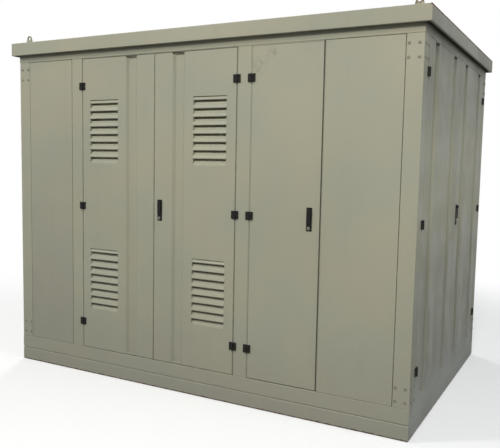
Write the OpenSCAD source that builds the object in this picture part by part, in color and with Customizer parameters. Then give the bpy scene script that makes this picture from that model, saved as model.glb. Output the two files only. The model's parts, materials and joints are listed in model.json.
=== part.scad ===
// Compact substation: a walk-up kiosk of folded sheet steel on a channel base, with louvred double
// doors and a plain door on its front, a ribbed double door on its right end, and a lift-off roof.
// Millimetres. X runs along the front, Y from front to back, Z up from the ground.

/* [Body] */
// Length of the walls along the front
body_length = 3000; // [2600:10:3600]
// Depth of the walls from front to back
body_depth = 2000; // [1700:10:2600]
// Clear height of the wall openings between the bottom and top rails
opening_height = 2058; // [1900:1:2400]

/* [Base] */
// Height of the base channels
base_height = 95; // [80:1:160]
// Width of a base channel's flanges
base_flange = 55; // [40:1:80]
// Thickness of a base channel
base_thickness = 6; // [4:0.5:10]
// Outer radius of a base channel's folds
base_bend = 9; // [7:0.5:12]
// Thickness of the floor plate
floor_thickness = 4; // [3:0.5:8]
// Number of cross bearers under the floor
bearer_count = 4; // [2:1:6]

/* [Frame] */
// Thickness of the folded frame sections
frame_thickness = 3; // [2:0.5:4]
// Outer radius of the frame sections' folds
frame_bend = 5; // [4.5:0.5:8]
// Height of the bottom rail's face
bottom_rail_height = 93; // [60:1:140]
// Height of the top rail, most of it behind the fascia
top_rail_height = 138; // [110:1:200]
// Width of the rails' inner flanges
rail_flange = 60; // [40:1:90]
// Width of a corner post's faces
post_width = 100; // [80:1:140]
// Width of a mullion's face
mullion_width = 96; // [60:1:140]
// Depth of the rebate that doors and panels close into
rebate_depth = 30; // [28:1:45]
// Width of the stop flange at the back of the rebate
stop_width = 20; // [12:1:30]
// Open joint between mitred rails
mitre_joint = 0.5; // [0.2:0.1:1]

/* [Bays] */
// Width of the narrow bay at the front's left
narrow_bay = 414; // [300:1:600]
// Width of the bay with the louvred double doors
louvred_bay = 1255; // [900:1:1500]
// Gap round the doors
door_gap = 6; // [5.5:0.5:10]
// Gap round the fixed panels
panel_gap = 2; // [1:0.5:6]

/* [Doors and panels] */
// Thickness of the door and panel sheet
skin_thickness = 2; // [1:0.5:3]
// Outer radius of the door and panel sheet's folds
skin_bend = 3.5; // [3.5:0.5:5]
// Depth of a door's folded edges
door_depth = 24; // [22:0.5:26]
// Width of the lips folded in behind a door or panel
lip_width = 18; // [10:1:30]
// Width of a pressed stiffening channel
channel_width = 92; // [60:1:120]
// Depth of a pressed stiffening channel
channel_depth = 16; // [8:0.5:18]
// Distance of a channel's middle from the sheet's edge
channel_offset = 188; // [120:1:260]
// Height of the relief notch at a channel's top
notch_height = 10; // [6:0.5:18]

/* [Louvres] */
// Width of a louvre bank
louvre_width = 250; // [160:1:300]
// Distance of a louvre bank from the hinge edge
louvre_offset = 66; // [50:1:120]
// Distance of each bank's middle above or below mid-height
louvre_spread = 521; // [400:1:700]
// Number of lips in a bank
louvre_lips = 8; // [3:1:10]
// Distance from one lip to the next
louvre_pitch = 53; // [40:0.5:60]
// Height of the lowest lip above a bank's lower edge
louvre_first = 43; // [36:0.5:55]
// Height of a bank above its highest lip
louvre_last = 27; // [25:0.5:40]
// How far the unrolled corner of a lip stands out of the sheet
louvre_stand = 5; // [4:0.5:6]
// Width of the strip rolled back under a lip
louvre_roll = 10; // [10:0.5:12]
// Outer radius of a blade's bends
louvre_bend = 5; // [3.5:0.5:5]
// Depth of the knee in a blade, behind the sheet's face
louvre_knee = 3; // [1:0.5:6]
// Depth of the short top blade's upper edge, behind the sheet's face
louvre_tuck = 10; // [6:0.5:10]
// Height and depth of a blade's upper half, which leans in at 45 degrees
louvre_throw = 29; // [20:0.5:29]

/* [Hinges] */
// Width and height of a hinge
hinge_size = 50; // [40:1:70]
// Thickness of a hinge's leaves
hinge_leaf = 5; // [3:0.5:6]
// Radius of a hinge's barrel
hinge_barrel = 6.5; // [6:0.1:7]
// Radius of a hinge's pin
hinge_pin = 3; // [2:0.1:4]
// How far the hinge axis stands out of the door's face
hinge_stand = 7; // [7:0.1:9]
// Distance of the outer hinges above and below mid-height
hinge_spread = 838; // [600:1:900]
// Running clearance round a hinge's pin and barrel
hinge_play = 0.3; // [0.2:0.05:0.5]
// Clearance between one leaf and the other leaf's barrel
hinge_room = 1.2; // [1:0.1:2]

/* [Handles] */
// Width of a lock handle's base plate
handle_width = 36; // [28:1:46]
// Height of a lock handle's base plate
handle_height = 140; // [120:1:180]
// Thickness of a lock handle's base plate
handle_plate = 3; // [2.5:0.5:8]
// Width of the lever
lever_width = 26; // [18:1:32]
// Thickness of the lever
lever_thickness = 5; // [4:0.5:12]
// Distance from the lever's pivot to its free end
lever_length = 78; // [50:1:86]
// Gap between the lever and its base plate
lever_gap = 5; // [5:0.5:8]
// Chamfer round the lever and its base plate
handle_chamfer = 1.5; // [0.5:0.5:2]
// Radius of the lever's spindle
spindle_radius = 9; // [6:0.5:12]
// Seat clearance under the spindle
spindle_play = 0.3; // [0.2:0.05:0.5]
// Radius of the key cylinder
lock_radius = 10; // [8:0.5:13]
// Height of the key cylinder above the base plate
lock_height = 7; // [5:0.5:12]
// Width of the key slot
key_slot_width = 2.5; // [1.5:0.5:4]
// Length of the key slot
key_slot_length = 10; // [6:0.5:14]
// Distance of the louvred door's handle from the meeting edge
louvred_handle_offset = 46; // [40:1:70]
// Distance of the plain door's handle from its free edge
plain_handle_offset = 65; // [40:1:90]
// Distance of the end door's handle from the meeting edge
end_handle_offset = 50; // [40:1:70]

/* [Roof] */
// How far the roof reaches past the walls
roof_overhang = 40; // [36:1:80]
// Height of the roof's fascia
fascia_height = 91; // [60:1:110]
// Thickness of the roof sheet
roof_thickness = 2; // [1.5:0.5:4]
// Outer radius of the roof sheet's folds
roof_bend = 5; // [4.5:0.5:8]
// Width of the lip folded in along the fascia's lower edge
fascia_lip = 14; // [8:1:24]
// Width of the flat margin round the raised field of the roof
roof_margin = 190; // [170:1:300]
// Rise of the roof's raised field to its ridge
roof_rise = 28; // [10:1:60]

/* [Lifting lugs] */
// Distance of a lug from the body's front or back face
lug_inset = 50; // [30:1:90]
// Length of a lug's foot
lug_foot_length = 90; // [80:1:120]
// Width of a lug's foot
lug_foot_width = 70; // [50:1:90]
// Thickness of a lug's foot and plate
lug_thickness = 10; // [8:0.5:16]
// Width of a lug's plate where it meets the foot
lug_base_width = 62; // [56:1:80]
// Radius of a lug's rounded top
lug_top_radius = 20; // [18:0.5:26]
// Height of the lug's eye above the roof sheet
lug_eye_height = 44; // [38:1:70]
// Radius of the lug's eye
lug_eye_radius = 12; // [8:0.5:14]

/* [Hidden] */
$fn = 48;

// Overrun of every cut
overrun = 1;
// Colours of the paint, the black fittings and the bare metal
paint = "#a4a38f";
black = "#1d1d1f";
bare_metal = "#b9bbbd";

// Levels, upwards from the ground
sill_level = base_height + bottom_rail_height;
head_level = sill_level + opening_height;
plate_level = head_level + top_rail_height;
roof_level = plate_level + roof_thickness;
middle_level = sill_level + opening_height / 2;
door_height = opening_height - 2 * door_gap;
panel_height = opening_height - 2 * panel_gap;

// Edges of the front's bays, from its left corner
narrow_start = post_width;
narrow_end = narrow_start + narrow_bay;
louvred_start = narrow_end + mullion_width;
louvred_end = louvred_start + louvred_bay;
plain_start = louvred_end + mullion_width;
plain_end = body_length - post_width;
plain_bay = plain_end - plain_start;
end_bay = body_depth - 2 * post_width;
front_bays = [[narrow_start, narrow_end], [louvred_start, louvred_end], [plain_start, plain_end]];
back_bays = [for (bay = front_bays) [body_length - bay[1], body_length - bay[0]]];
end_bays = [[post_width, body_depth - post_width]];

// Width of one of two sheets that share a bay, and the left edge of each
function half_bay(bay, gap) = (bay - 3 * gap) / 2;
function half_places(start, bay, gap) = [start + gap, start + 2 * gap + half_bay(bay, gap)];

// Widths of the leaves and panels, and the left edges of the leaves along their walls
narrow_panel_width = narrow_bay - 2 * panel_gap;
louvred_leaf_width = half_bay(louvred_bay, door_gap);
louvred_places = half_places(louvred_start, louvred_bay, door_gap);
end_leaf_width = half_bay(end_bay, door_gap);
end_places = half_places(post_width, end_bay, door_gap);
plain_leaf_width = (plain_bay - 2 * door_gap - panel_gap) / 2;
plain_door_place = plain_start + door_gap;
plain_panel_place = plain_door_place + plain_leaf_width + door_gap;

// Places of the hinge axes, in the middle of the gap at each leaf's hinge edge
louvred_left_axis = louvred_start + door_gap / 2;
louvred_right_axis = louvred_end - door_gap / 2;
plain_axis = plain_start + door_gap / 2;
end_front_axis = post_width + door_gap / 2;
end_rear_axis = body_depth - post_width - door_gap / 2;

// Heights of a door's three hinges, a knuckle's height, and a leaf's clearance from the barrel
hinge_levels = [for (s = [-1, 0, 1]) middle_level + s * hinge_spread];
knuckle = hinge_size / 3;
leaf_clearance = hinge_barrel + hinge_room;

// Places of the handles
louvred_handle_place = louvred_places[1] + louvred_handle_offset;
plain_handle_place = plain_door_place + plain_leaf_width - plain_handle_offset;
end_handle_place = end_places[1] + end_handle_offset;
pivot_rise = (handle_height - handle_width) / 2;
lock_drop = (handle_height - handle_width) / 2;

// Louvre bank, whose blades lean from a lip outside to a top edge inside
louvre_depth = louvre_knee + louvre_throw + skin_thickness;
bank_height = louvre_first + (louvre_lips - 1) * louvre_pitch + louvre_last;

// Outline of a folded sheet: the path of its outer face with rounded bends, and the same path moved in by
// the sheet's thickness
bend_steps = 4;
function unit(v) = v / norm(v);
function left_of(v) = [-v[1], v[0]];
function turned(v, angle) = [v[0] * cos(angle) - v[1] * sin(angle), v[0] * sin(angle) + v[1] * cos(angle)];
function heading(path, i) = unit(path[i + 1] - path[i]);

// One bend: an arc whose outer radius is the same whichever way the sheet turns
function bend_arc(corner, a, b, t, r) =
    let (
        side = sign(a[0] * b[1] - a[1] * b[0]),
        angle = acos(a * b),
        radius = side > 0 ? r : r - t,
        start = corner - a * radius * tan(angle / 2),
        spoke = -side * radius * left_of(a)
    )
    [for (k = [0:bend_steps]) start - spoke + turned(spoke, side * angle * k / bend_steps)];
function bent(path, t, r) = [
    for (i = [0:len(path) - 1])
        for (p = i == 0 || i == len(path) - 1
            ? [path[i]]
            : bend_arc(path[i], heading(path, i - 1), heading(path, i), t, r)) p
];
function fold_point(path, i, t) =
    i == 0 ? path[i] + t * left_of(heading(path, i))
    : i == len(path) - 1 ? path[i] + t * left_of(heading(path, i - 1))
    : let (a = left_of(heading(path, i - 1)), b = left_of(heading(path, i)))
        path[i] + t * (a + b) / (1 + a * b);
function thickened(path, t) = concat(path, [for (i = [len(path) - 1:-1:0]) fold_point(path, i, t)]);
function folded(path, t, r) = thickened(bent(path, t, r), t);

// Each wall's own frame: along it from its left corner as seen from outside, inwards, and up
module on_front() {
    translate([-body_length / 2, -body_depth / 2, 0]) children();
}
module on_right_end() {
    translate([body_length / 2, -body_depth / 2, 0]) rotate([0, 0, 90]) children();
}
module on_back() {
    translate([body_length / 2, body_depth / 2, 0]) rotate([0, 0, 180]) children();
}
module on_left_end() {
    translate([-body_length / 2, body_depth / 2, 0]) rotate([0, 0, -90]) children();
}

// A section of the wall's depth and height, run along the wall
module run_along(length) {
    rotate([90, 0, 90]) linear_extrude(length) children();
}

// A rail's length with both ends cut at 45 degrees, so that four make a closed frame
module mitred(length, width, level, height, joint) {
    intersection() {
        children();
        translate([0, 0, level - overrun])
            linear_extrude(height + 2 * overrun)
                polygon([
                    [joint, 0],
                    [length - joint, 0],
                    [length - width - joint, width],
                    [width + joint, width]
                ]);
    }
}

// C-section of a rail, with an upper and a lower flange turned in behind its face
function channel_path(low, high, low_flange, high_flange) =
    [[high_flange, high], [0, high], [0, low], [low_flange, low]];

module base_channel(length) {
    color(paint)
        mitred(length, base_flange, 0, base_height, mitre_joint)
            run_along(length)
                polygon(folded(
                    channel_path(0, base_height, base_flange, base_flange), base_thickness, base_bend
                ));
}

module base_side_channels() {
    on_front() base_channel(body_length);
    on_back() base_channel(body_length);
}

module base_end_channels() {
    on_right_end() base_channel(body_depth);
    on_left_end() base_channel(body_depth);
}

// Cross bearers between the side channels' flanges, clear of the bends
module base_bearers() {
    bearer_step = body_length / (bearer_count + 1);
    color(paint)
        for (i = [1:bearer_count])
            translate([i * bearer_step - body_length / 2, base_bend - body_depth / 2, base_thickness])
                rotate([0, 0, 90])
                    run_along(body_depth - 2 * base_bend)
                        polygon(folded(
                            channel_path(0, base_height - 2 * base_thickness, base_flange, base_flange),
                            base_thickness, base_bend
                        ));
}

module floor_plate() {
    color(paint)
        translate([0, 0, base_height + frame_thickness + floor_thickness / 2])
            cube([
                body_length - 2 * frame_bend - 2 * mitre_joint,
                body_depth - 2 * frame_bend - 2 * mitre_joint,
                floor_thickness
            ], center = true);
}

// Stop strips along a rail, between the stop flanges of the uprights
module stop_strips(bays, level) {
    for (bay = bays)
        translate([bay[0] + stop_width, rebate_depth, level])
            cube([bay[1] - bay[0] - 2 * stop_width, frame_thickness, stop_width + frame_thickness]);
}

module bottom_rail(length, bays) {
    back = rebate_depth + frame_thickness;
    color(paint) {
        mitred(length, rail_flange, base_height, bottom_rail_height, mitre_joint)
            run_along(length)
                polygon(folded(
                    channel_path(base_height, sill_level, rail_flange, back), frame_thickness, frame_bend
                ));
        stop_strips(bays, sill_level - frame_thickness);
    }
}

module bottom_side_rails() {
    on_front() bottom_rail(body_length, front_bays);
    on_back() bottom_rail(body_length, back_bays);
}

module bottom_end_rails() {
    on_right_end() bottom_rail(body_depth, end_bays);
    on_left_end() bottom_rail(body_depth, end_bays);
}

module top_rail(length, bays) {
    back = rebate_depth + frame_thickness;
    color(paint) {
        mitred(length, rail_flange, head_level, top_rail_height, mitre_joint)
            run_along(length)
                polygon(folded(
                    channel_path(head_level, plate_level, back, rail_flange), frame_thickness, frame_bend
                ));
        stop_strips(bays, head_level - stop_width);
    }
}

module top_side_rails() {
    on_front() top_rail(body_length, front_bays);
    on_back() top_rail(body_length, back_bays);
}

module top_end_rails() {
    on_right_end() top_rail(body_depth, end_bays);
    on_left_end() top_rail(body_depth, end_bays);
}

// A corner post: two faces round the corner, each with a rebate and a stop flange
module corner_post() {
    stop_end = post_width + stop_width;
    path = [
        [rebate_depth, stop_end],
        [rebate_depth, post_width],
        [0, post_width],
        [0, 0],
        [post_width, 0],
        [post_width, rebate_depth],
        [stop_end, rebate_depth]
    ];
    color(paint)
        translate([0, 0, sill_level])
            linear_extrude(opening_height)
                polygon(folded(path, frame_thickness, frame_bend));
}

module corner_posts() {
    on_front() corner_post();
    on_right_end() corner_post();
    on_back() corner_post();
    on_left_end() corner_post();
}

// A mullion: a hat section with a rebate and a stop flange on each side
module mullion(place) {
    path = [
        [-stop_width, rebate_depth],
        [0, rebate_depth],
        [0, 0],
        [mullion_width, 0],
        [mullion_width, rebate_depth],
        [mullion_width + stop_width, rebate_depth]
    ];
    color(paint)
        translate([place, 0, sill_level])
            linear_extrude(opening_height)
                polygon(folded(path, frame_thickness, frame_bend));
}

module front_mullions() {
    on_front() {
        mullion(narrow_end);
        mullion(louvred_end);
    }
}

module back_mullions() {
    on_back() {
        mullion(body_length - louvred_start);
        mullion(body_length - plain_start);
    }
}

// Points of one pressed channel, across the sheet at its middle
function channel_points(middle) = [
    [middle - channel_width / 2, 0],
    [middle - channel_width / 2 + channel_depth, channel_depth],
    [middle + channel_width / 2 - channel_depth, channel_depth],
    [middle + channel_width / 2, 0]
];

// Outer face of a folded pan in plan, with its pressed channels from left to right
function pan_path(width, depth, channels) = concat(
    [[lip_width, depth], [0, depth], [0, 0]],
    [for (middle = channels) for (p = channel_points(middle)) p],
    [[width, 0], [width, depth], [width - lip_width, depth]]
);

// A pan of folded sheet, closed at its top and bottom, with a notch over each channel
module pan(width, height, depth, channels = []) {
    path = bent(pan_path(width, depth, channels), skin_thickness, skin_bend);
    difference() {
        union() {
            linear_extrude(height) polygon(thickened(path, skin_thickness));
            for (level = [0, height - skin_thickness])
                translate([0, 0, level]) linear_extrude(skin_thickness) polygon(path);
        }
        for (middle = channels)
            translate([middle - channel_width / 2, -overrun, height - notch_height])
                cube([channel_width, channel_depth + skin_thickness + 2 * overrun, notch_height + overrun]);
    }
}

// A blade in section: its upper half from its top edge, level with the lip above, down to its knee
function blade_crown(level) = [[louvre_knee + louvre_throw, level], [louvre_knee, level - louvre_throw]];
// and its lip, rolled back under
function blade_lip(level) = [[-louvre_stand, level], [louvre_roll - louvre_stand, level]];

// A blade folded along its path, let into the flanges at its ends
module blade(path) {
    translate([skin_thickness / 2, 0, 0])
        run_along(louvre_width - skin_thickness)
            polygon(folded(path, skin_thickness, louvre_bend));
}

// Flanges turned in at the sides and the top of a bank's opening
module bank_flanges() {
    for (side = [0, louvre_width - skin_thickness])
        translate([side, 0, 0]) cube([skin_thickness, louvre_depth, bank_height]);
    translate([0, 0, bank_height - skin_thickness]) cube([louvre_width, louvre_depth, skin_thickness]);
}

// A bank of louvres: a blade from the opening's lower edge, whole blades, and a short one below the top
module louvre_bank() {
    lip_levels = [for (i = [0:louvre_lips - 1]) louvre_first + i * louvre_pitch];
    top_edge = [louvre_tuck, bank_height - skin_thickness / 2];
    bank_flanges();
    blade(concat(blade_crown(louvre_first), [[0, 0]]));
    for (i = [1:louvre_lips - 1])
        blade(concat(blade_crown(lip_levels[i]), blade_lip(lip_levels[i - 1])));
    blade(concat([top_edge], blade_lip(lip_levels[louvre_lips - 1])));
}

// A louvred leaf: channel near its meeting edge, banks of louvres near the other
module louvred_pan(width, height, depth, meeting_left) {
    channel = meeting_left ? channel_offset : width - channel_offset;
    bank = meeting_left ? width - louvre_offset - louvre_width : louvre_offset;
    levels = [for (s = [-1, 1]) height / 2 + s * louvre_spread - bank_height / 2];
    difference() {
        pan(width, height, depth, [channel]);
        for (level = levels)
            translate([bank + skin_thickness, -overrun, level + skin_thickness])
                cube([
                    louvre_width - 2 * skin_thickness,
                    skin_thickness + 2 * overrun,
                    bank_height - 2 * skin_thickness
                ]);
    }
    for (level = levels)
        translate([bank, 0, level]) louvre_bank();
}

module ribbed_pan(width, height, depth) {
    pan(width, height, depth, [channel_offset, width - channel_offset]);
}

// A door leaf or a fixed panel at its place along the wall
module place_door(place) {
    color(paint) translate([place, 0, sill_level + door_gap]) children();
}
module place_panel(place) {
    color(paint) translate([place, 0, sill_level + panel_gap]) children();
}

module front_left_panel() {
    on_front()
        place_panel(narrow_start + panel_gap)
            pan(narrow_panel_width, panel_height, rebate_depth);
}

// The fixed panel beside the plain door, with the stop that the door closes against
module front_right_panel() {
    on_front()
        place_panel(plain_panel_place) {
            pan(plain_leaf_width, panel_height, rebate_depth);
            translate([-stop_width, rebate_depth, stop_width])
                cube([stop_width + lip_width, skin_thickness, panel_height - 2 * stop_width]);
        }
}

module left_end_panels() {
    on_left_end()
        for (place = half_places(post_width, end_bay, panel_gap))
            place_panel(place) ribbed_pan(half_bay(end_bay, panel_gap), panel_height, rebate_depth);
}

module back_plain_panels() {
    on_back() {
        place_panel(body_length - narrow_end + panel_gap)
            pan(narrow_panel_width, panel_height, rebate_depth);
        for (place = half_places(body_length - plain_end, plain_bay, panel_gap))
            place_panel(place) pan(half_bay(plain_bay, panel_gap), panel_height, rebate_depth);
    }
}

module back_louvred_panels() {
    width = half_bay(louvred_bay, panel_gap);
    places = half_places(body_length - louvred_end, louvred_bay, panel_gap);
    on_back() {
        place_panel(places[0]) louvred_pan(width, panel_height, rebate_depth, false);
        place_panel(places[1]) louvred_pan(width, panel_height, rebate_depth, true);
    }
}

module louvred_door_left() {
    on_front()
        place_door(louvred_places[0])
            louvred_pan(louvred_leaf_width, door_height, door_depth, false);
}

module louvred_door_right() {
    on_front()
        place_door(louvred_places[1])
            louvred_pan(louvred_leaf_width, door_height, door_depth, true);
}

module plain_door() {
    on_front() place_door(plain_door_place) pan(plain_leaf_width, door_height, door_depth);
}

module end_door_front() {
    on_right_end() place_door(end_places[0]) ribbed_pan(end_leaf_width, door_height, door_depth);
}

module end_door_rear() {
    on_right_end() place_door(end_places[1]) ribbed_pan(end_leaf_width, door_height, door_depth);
}

// Three hinges on one axis, with the door on the side that the sign gives
module at_hinges(axis, door_side) {
    color(black)
        for (level = hinge_levels)
            translate([axis, -hinge_stand, level])
                mirror([door_side < 0 ? 1 : 0, 0, 0])
                    children();
}

// A hinge leaf screwed flat on its sheet, from the barrel's clearance outwards
module hinge_plate() {
    translate([leaf_clearance, hinge_stand - hinge_leaf, -hinge_size / 2])
        cube([hinge_size / 2 - leaf_clearance, hinge_leaf, hinge_size]);
}

// The web that joins a knuckle of the barrel to its leaf
module knuckle_web(low, high) {
    translate([0, hinge_stand - hinge_leaf, low])
        cube([leaf_clearance + overrun, hinge_leaf, high - low]);
}

// Frame half: upper and lower knuckles and the pin, on the upright
module hinge_frame_half() {
    rise = knuckle / 2 + hinge_play;
    height = hinge_size / 2 - rise;
    mirror([1, 0, 0]) {
        hinge_plate();
        knuckle_web(rise, hinge_size / 2);
        knuckle_web(-hinge_size / 2, -rise);
    }
    for (low = [rise, -hinge_size / 2])
        translate([0, 0, low]) cylinder(r = hinge_barrel, h = height);
    cylinder(r = hinge_pin, h = hinge_size, center = true);
}

// Door half: the middle knuckle, bored for the pin, on the door
module hinge_door_half() {
    difference() {
        union() {
            hinge_plate();
            knuckle_web(-knuckle / 2, knuckle / 2);
            cylinder(r = hinge_barrel, h = knuckle, center = true);
        }
        cylinder(r = hinge_pin + hinge_play, h = hinge_size, center = true);
    }
}

module front_hinge_frames() {
    on_front() {
        at_hinges(louvred_left_axis, 1) hinge_frame_half();
        at_hinges(louvred_right_axis, -1) hinge_frame_half();
        at_hinges(plain_axis, 1) hinge_frame_half();
    }
}

module end_hinge_frames() {
    on_right_end() {
        at_hinges(end_front_axis, 1) hinge_frame_half();
        at_hinges(end_rear_axis, -1) hinge_frame_half();
    }
}

module louvred_left_hinges() {
    on_front() at_hinges(louvred_left_axis, 1) hinge_door_half();
}

module louvred_right_hinges() {
    on_front() at_hinges(louvred_right_axis, -1) hinge_door_half();
}

module plain_door_hinges() {
    on_front() at_hinges(plain_axis, 1) hinge_door_half();
}

module end_front_hinges() {
    on_right_end() at_hinges(end_front_axis, 1) hinge_door_half();
}

module end_rear_hinges() {
    on_right_end() at_hinges(end_rear_axis, -1) hinge_door_half();
}

// A stub out of the door's face
module stub(radius, level, near, far) {
    translate([0, -near, level]) rotate([90, 0, 0]) cylinder(r = radius, h = far - near);
}

module at_handle(place) {
    translate([place, 0, middle_level]) children();
}

// A handle bar in section between two sides, chamfered at its outer face
function bar_section(low, high, near, far) = [
    [-near, low],
    [-near, high],
    [handle_chamfer - far, high],
    [-far, high - handle_chamfer],
    [-far, low + handle_chamfer],
    [handle_chamfer - far, low]
];

// A chamfered bar, upright on the door's face from one depth to another
module handle_bar(width, low, high, near, far) {
    intersection() {
        translate([-width / 2, 0, 0]) run_along(width) polygon(bar_section(low, high, near, far));
        translate([0, 0, low])
            linear_extrude(high - low)
                polygon([for (p = bar_section(-width / 2, width / 2, near, far)) [p[1], p[0]]]);
    }
}

// Base plate of a lock handle, screwed on the door's face
module handle_base() {
    color(black) handle_bar(handle_width, -handle_height / 2, handle_height / 2, 0, handle_plate);
}

// Lever that hangs from its spindle and turns a quarter to draw the lock rods
module handle_lever() {
    near = handle_plate + lever_gap;
    top = pivot_rise + lever_width / 2;
    color(black) {
        handle_bar(lever_width, pivot_rise - lever_length, top, near, near + lever_thickness);
        stub(spindle_radius, pivot_rise, handle_plate + spindle_play, near + overrun);
    }
}

// Key cylinder at the base plate's lower end
module handle_lock() {
    top = handle_plate + lock_height;
    color(bare_metal)
        difference() {
            stub(lock_radius, -lock_drop, handle_plate, top);
            translate([-key_slot_width / 2, -top - overrun, -lock_drop - key_slot_length / 2])
                cube([key_slot_width, lock_height / 2, key_slot_length]);
        }
}

module louvred_handle_base() {
    on_front() at_handle(louvred_handle_place) handle_base();
}

module louvred_handle_lever() {
    on_front() at_handle(louvred_handle_place) handle_lever();
}

module louvred_lock() {
    on_front() at_handle(louvred_handle_place) handle_lock();
}

module plain_handle_base() {
    on_front() at_handle(plain_handle_place) handle_base();
}

module plain_handle_lever() {
    on_front() at_handle(plain_handle_place) handle_lever();
}

module plain_lock() {
    on_front() at_handle(plain_handle_place) handle_lock();
}

module end_handle_base() {
    on_right_end() at_handle(end_handle_place) handle_base();
}

module end_handle_lever() {
    on_right_end() at_handle(end_handle_place) handle_lever();
}

module end_lock() {
    on_right_end() at_handle(end_handle_place) handle_lock();
}

// One side of the roof's rim: flat margin, fascia and lip, folded from one sheet and mitred at its ends
module roof_rim(length) {
    low = roof_level - fascia_height;
    translate([-roof_overhang, -roof_overhang, 0])
        mitred(length + 2 * roof_overhang, roof_margin, low, fascia_height, 0)
            run_along(length + 2 * roof_overhang)
                polygon(folded(
                    channel_path(low, roof_level, fascia_lip, roof_margin), roof_thickness, roof_bend
                ));
}

// The raised field of the roof: four slopes up to a ridge, where two long prisms cross
module raised_field() {
    half_length = body_length / 2 + roof_overhang - roof_margin;
    half_depth = body_depth / 2 + roof_overhang - roof_margin;
    intersection() {
        translate([-half_length, 0, 0])
            run_along(2 * half_length)
                polygon([[-half_depth, 0], [half_depth, 0], [0, roof_rise]]);
        translate([0, half_depth, 0])
            rotate([90, 0, 0])
                linear_extrude(2 * half_depth)
                    polygon([
                        [-half_length, 0],
                        [half_length, 0],
                        [half_length - half_depth, roof_rise],
                        [half_depth - half_length, roof_rise]
                    ]);
    }
}

// The lift-off roof: a rim round a sheet that rises to a ridge
module roof() {
    inset = 2 * (roof_overhang - roof_margin);
    color(paint) {
        on_front() roof_rim(body_length);
        on_back() roof_rim(body_length);
        on_right_end() roof_rim(body_depth);
        on_left_end() roof_rim(body_depth);
        difference() {
            union() {
                translate([0, 0, (plate_level + roof_level) / 2])
                    cube([body_length + inset, body_depth + inset, roof_thickness], center = true);
                translate([0, 0, roof_level]) raised_field();
            }
            translate([0, 0, plate_level]) raised_field();
        }
    }
}

// A lug: a foot on the roof over the corner post, and a plate with the lifting eye
module lifting_lug() {
    color(bare_metal)
        translate([0, 0, roof_level]) {
            translate([-lug_foot_length / 2, -lug_foot_width / 2, 0])
                cube([lug_foot_length, lug_foot_width, lug_thickness]);
            translate([0, lug_thickness / 2, 0])
                rotate([90, 0, 0])
                    linear_extrude(lug_thickness)
                        difference() {
                            union() {
                                polygon([
                                    [-lug_base_width / 2, 0],
                                    [lug_base_width / 2, 0],
                                    [lug_top_radius, lug_eye_height],
                                    [-lug_top_radius, lug_eye_height]
                                ]);
                                translate([0, lug_eye_height]) circle(r = lug_top_radius);
                            }
                            translate([0, lug_eye_height]) circle(r = lug_eye_radius);
                        }
        }
}

module lifting_lugs() {
    for (side = [-1, 1])
        for (end = [-1, 1])
            translate([end * (body_length / 2 - lug_inset), side * (body_depth / 2 - lug_inset), 0])
                lifting_lug();
}

base_side_channels();
base_end_channels();
base_bearers();
floor_plate();
bottom_side_rails();
bottom_end_rails();
corner_posts();
front_mullions();
back_mullions();
top_side_rails();
top_end_rails();
front_left_panel();
front_right_panel();
left_end_panels();
back_plain_panels();
back_louvred_panels();
louvred_door_left();
louvred_door_right();
plain_door();
end_door_front();
end_door_rear();
front_hinge_frames();
end_hinge_frames();
louvred_left_hinges();
louvred_right_hinges();
plain_door_hinges();
end_front_hinges();
end_rear_hinges();
louvred_handle_base();
louvred_handle_lever();
louvred_lock();
plain_handle_base();
plain_handle_lever();
plain_lock();
end_handle_base();
end_handle_lever();
end_lock();
roof();
lifting_lugs();
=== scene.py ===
import json
import math

import bmesh
import bpy
from mathutils import Matrix, Vector


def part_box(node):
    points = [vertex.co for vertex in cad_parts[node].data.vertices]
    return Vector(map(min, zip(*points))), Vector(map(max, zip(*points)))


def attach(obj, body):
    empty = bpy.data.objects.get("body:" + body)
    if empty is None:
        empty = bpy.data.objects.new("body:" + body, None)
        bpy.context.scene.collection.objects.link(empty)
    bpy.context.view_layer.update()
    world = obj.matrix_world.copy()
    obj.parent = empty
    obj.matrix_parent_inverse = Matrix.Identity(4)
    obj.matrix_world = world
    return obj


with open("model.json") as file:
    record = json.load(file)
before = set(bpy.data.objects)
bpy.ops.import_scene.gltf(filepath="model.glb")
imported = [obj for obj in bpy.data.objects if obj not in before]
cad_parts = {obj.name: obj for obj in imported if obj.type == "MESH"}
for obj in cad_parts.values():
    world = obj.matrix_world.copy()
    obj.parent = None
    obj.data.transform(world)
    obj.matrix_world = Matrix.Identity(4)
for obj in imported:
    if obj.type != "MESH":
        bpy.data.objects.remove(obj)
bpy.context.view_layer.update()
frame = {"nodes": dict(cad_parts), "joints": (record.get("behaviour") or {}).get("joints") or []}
nodes = frame["nodes"]


# Base: side and end channels of folded 6 mm plate, mitred and welded into a ring, with cross
# bearers and a floor plate. It is sprayed in the housing's grey-green. Its foot stands in splash
# and starts to rust.

# Grey-green of the housing, its cool and warm drift, and the tones that weather leaves on it. The
# grime tone is also the tone of painted shade in joints, under the eave and beside the plain door
housing_paint = (0.372, 0.366, 0.277, 1)
cool_drift = (0.985, 1.0, 1.025, 1)
warm_drift = (1.015, 1.0, 0.975, 1)
rain_tone = (0.250, 0.248, 0.185, 1)
dust_tone = (0.285, 0.282, 0.244, 1)
splash_tone = (0.350, 0.360, 0.365, 1)
grime_and_shade_tone = (0.060, 0.058, 0.042, 1)
rust_tone = (0.150, 0.048, 0.018, 1)
rust_dark = (0.060, 0.022, 0.012, 1)

# Along X, where the right end's outer faces begin and where they are reached in full
end_start = 1.455
end_full = 1.465


def put(tree, kind, inputs=None, **settings):
    """A node with its settings, its inputs linked to other sockets or set to values."""
    made = tree.nodes.new(kind)
    for name, value in settings.items():
        setattr(made, name, value)
    for key, value in (inputs or {}).items():
        if isinstance(value, bpy.types.NodeSocket):
            tree.links.new(value, made.inputs[key])
        else:
            made.inputs[key].default_value = value
    return made


def place_on(tree):
    """Object coordinates, which are the housing's own frame in metres."""
    return put(tree, "ShaderNodeTexCoord").outputs["Object"]


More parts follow.
